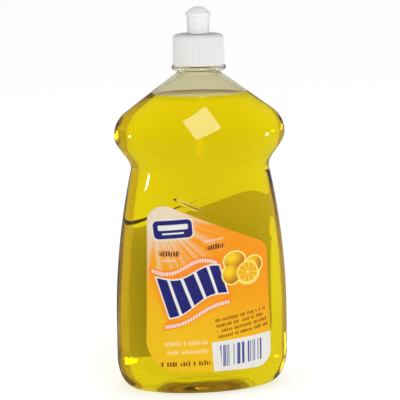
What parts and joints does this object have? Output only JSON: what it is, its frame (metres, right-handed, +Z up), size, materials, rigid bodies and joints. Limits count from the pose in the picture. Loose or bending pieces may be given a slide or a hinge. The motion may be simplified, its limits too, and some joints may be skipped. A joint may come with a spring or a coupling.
{
  "type": "dish soap bottle",
  "caption": "Filled clear oval bottle with a waisted grip, slanted film labels, and a white screw cap with a push-pull spout.",
  "frame": {"origin": "on the floor, under the middle of the bottle's oval", "axes": "+Z up along the neck's axis, -Y out of the front label, +X to the right seen from the front"},
  "size_m": [0.1077, 0.0622, 0.2363],
  "materials": {
    "clear_bottle": "clear glossy blown plastic",
    "yellow_soap": "clear bright yellow liquid",
    "front_film": "glossy printed film, orange to yellow",
    "back_film": "glossy printed film, orange to yellow",
    "white_closure": "moulded white plastic, fine ribs",
    "washer_foam": "foamed plastic sheet",
    "white_spout": "moulded white plastic, smooth"
  },
  "bodies": {
    "bottle": {"bottle": "clear_bottle", "dish_soap": "yellow_soap", "front_label": "front_film", "back_label": "back_film"},
    "seal": {"sealing_washer": "washer_foam"},
    "cap": {"screw_cap": "white_closure"},
    "spout": {"pull_spout": "white_spout"}
  },
  "joints": [
    {"name": "cap_lift", "type": "slide", "parent": "bottle", "child": "seal", "axis": [0, 0, 1], "range_m": [0, 0.00635]},
    {"name": "cap_turn", "type": "hinge", "parent": "seal", "child": "cap", "pos_m": [0, 0, 0.21], "axis": [0, 0, 1], "range_deg": [0, 540]},
    {"name": "spout_pull", "type": "slide", "parent": "cap", "child": "spout", "axis": [0, 0, 1], "range_m": [0, 0.005]}
  ],
  "couplings": [
    {"joint": "cap_lift", "follows": "cap_turn", "m_per_rad": 0.00067322}
  ]
}
